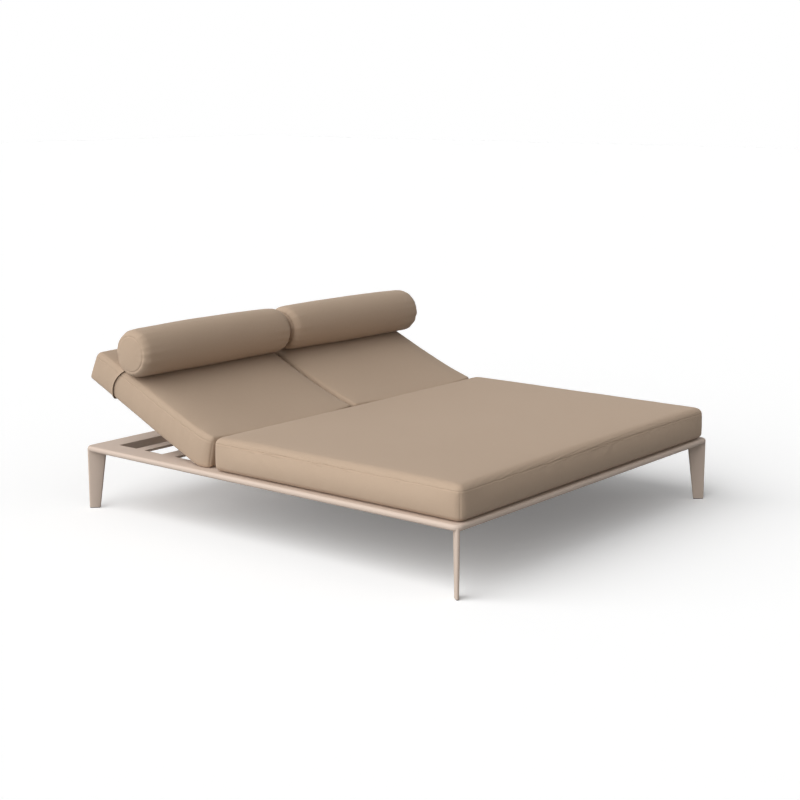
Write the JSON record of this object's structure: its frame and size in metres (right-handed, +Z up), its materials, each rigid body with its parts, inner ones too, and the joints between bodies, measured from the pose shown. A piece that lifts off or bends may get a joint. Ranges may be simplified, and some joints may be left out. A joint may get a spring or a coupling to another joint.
{
  "type": "double chaise lounger",
  "caption": "Low double chaise lounger: metal frame on blade legs, wide seat cushion, twin reclining backs with slip-on bolster headrests.",
  "frame": {"origin": "on the floor, under the middle of the base frame", "axes": "+X across the lounger, to the right seen from the foot end; +Y from the foot end to the head end; +Z up"},
  "size_m": [1.82, 2, 0.803],
  "materials": {
    "frame_coat": "satin",
    "bare_aluminium": "satin",
    "steel": "satin",
    "nylon": "matte",
    "grip_rubber": "matte",
    "fabric": "matte"
  },
  "bodies": {
    "base": {"bracket_bolts": "steel", "centre_beam": "frame_coat", "corner_keys": "bare_aluminium", "foot_rail": "frame_coat", "head_bars_left": "frame_coat", "head_bars_right": "frame_coat", "head_rail": "frame_coat", "hinge_beam": "frame_coat", "hinge_brackets_left": "frame_coat", "hinge_brackets_right": "frame_coat", "hinge_pins_left": "steel", "hinge_pins_right": "steel", "leg_foot_left": "frame_coat", "leg_foot_right": "frame_coat", "leg_glides": "nylon", "leg_head_left": "frame_coat", "leg_head_right": "frame_coat", "leg_studs": "steel", "rack_bolts": "steel", "racks_left": "frame_coat", "racks_right": "frame_coat", "seat_cushion": "fabric", "seat_slats_left": "frame_coat", "seat_slats_right": "frame_coat", "side_rail_left": "frame_coat", "side_rail_right": "frame_coat", "well_beam_inner_left": "frame_coat", "well_beam_inner_right": "frame_coat", "well_beam_outer_left": "frame_coat", "well_beam_outer_right": "frame_coat"},
    "back_left": {"back_bottom_member_left": "frame_coat", "back_cushion_left": "fabric", "back_grip_pads_left": "grip_rubber", "back_hinge_ears_left": "frame_coat", "back_inner_member_left": "frame_coat", "back_outer_member_left": "frame_coat", "back_slats_left": "frame_coat", "back_stay_ears_left": "frame_coat", "back_top_member_left": "frame_coat"},
    "back_right": {"back_bottom_member_right": "frame_coat", "back_cushion_right": "fabric", "back_grip_pads_right": "grip_rubber", "back_hinge_ears_right": "frame_coat", "back_inner_member_right": "frame_coat", "back_outer_member_right": "frame_coat", "back_slats_right": "frame_coat", "back_stay_ears_right": "frame_coat", "back_top_member_right": "frame_coat"},
    "stay_left": {"stay_arms_left": "frame_coat", "stay_foot_bar_left": "steel", "stay_pivot_rod_left": "steel", "stay_sleeves_left": "nylon"},
    "stay_right": {"stay_arms_right": "frame_coat", "stay_foot_bar_right": "steel", "stay_pivot_rod_right": "steel", "stay_sleeves_right": "nylon"},
    "headrest_left": {"headrest_bolster_left": "fabric", "headrest_hood_left": "fabric"},
    "headrest_right": {"headrest_bolster_right": "fabric", "headrest_hood_right": "fabric"}
  },
  "joints": [
    {"name": "back_left_recline", "type": "hinge", "parent": "base", "child": "back_left", "pos_m": [-0.42, 0.389, 0.262], "axis": [1, 0, 0], "range_deg": [-25, 30]},
    {"name": "stay_left_fold", "type": "hinge", "parent": "back_left", "child": "stay_left", "pos_m": [-0.42, 0.61104, 0.36554], "axis": [1, 0, 0], "range_deg": [-60, 50]},
    {"name": "headrest_left_slip", "type": "slide", "parent": "back_left", "child": "headrest_left", "axis": [0, 0.9063, 0.4226], "range_m": [0, 0.18]},
    {"name": "back_right_recline", "type": "hinge", "parent": "base", "child": "back_right", "pos_m": [0.42, 0.389, 0.262], "axis": [1, 0, 0], "range_deg": [-25, 30]},
    {"name": "stay_right_fold", "type": "hinge", "parent": "back_right", "child": "stay_right", "pos_m": [0.42, 0.61104, 0.36554], "axis": [1, 0, 0], "range_deg": [-60, 50]},
    {"name": "headrest_right_slip", "type": "slide", "parent": "back_right", "child": "headrest_right", "axis": [0, 0.9063, 0.4226], "range_m": [0, 0.18]}
  ],
  "couplings": [
    {"joint": "stay_left_fold", "follows": "back_left_recline", "ratio": -2},
    {"joint": "stay_right_fold", "follows": "back_right_recline", "ratio": -2}
  ]
}
